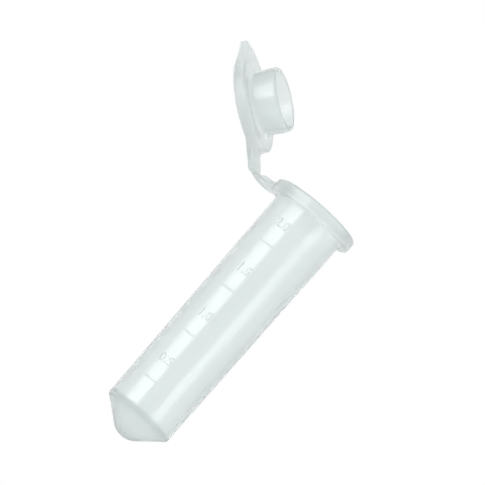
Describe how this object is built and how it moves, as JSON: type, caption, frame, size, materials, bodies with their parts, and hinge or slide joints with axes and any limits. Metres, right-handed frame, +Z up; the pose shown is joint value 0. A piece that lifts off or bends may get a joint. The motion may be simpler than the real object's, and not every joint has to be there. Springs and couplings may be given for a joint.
{
  "type": "microcentrifuge tube",
  "caption": "Open 2 ml conical-bottom microcentrifuge tube in natural polypropylene, with a snap lid hinged on a moulded strap.",
  "frame": {"origin": "on the tube axis, in the plane of the mouth flange's underside, where a rack holds the tube", "axes": "+Z up the tube axis to the mouth, hinge strap leaves the flange towards -X, +Y across the hinge"},
  "size_m": [0.033, 0.0132, 0.0536],
  "materials": {
    "natural_polypropylene": "translucent satin"
  },
  "bodies": {
    "tube": {"tube_barrel": "natural_polypropylene", "conical_tip": "natural_polypropylene", "mouth_flange": "natural_polypropylene", "strap_root_tube": "natural_polypropylene", "hinge_web": "natural_polypropylene"},
    "lid": {"lid_disc": "natural_polypropylene", "lid_plug": "natural_polypropylene", "thumb_tab": "natural_polypropylene", "strap_root_lid": "natural_polypropylene"}
  },
  "joints": [
    {"name": "lid_hinge", "type": "hinge", "parent": "tube", "child": "lid", "pos_m": [-0.01033, 0, 0.00191], "axis": [0, 1, 0], "range_deg": [-43.2, 136.8], "stiffness_Nm_per_rad": 0.002, "deforming": ["hinge_web"]}
  ]
}
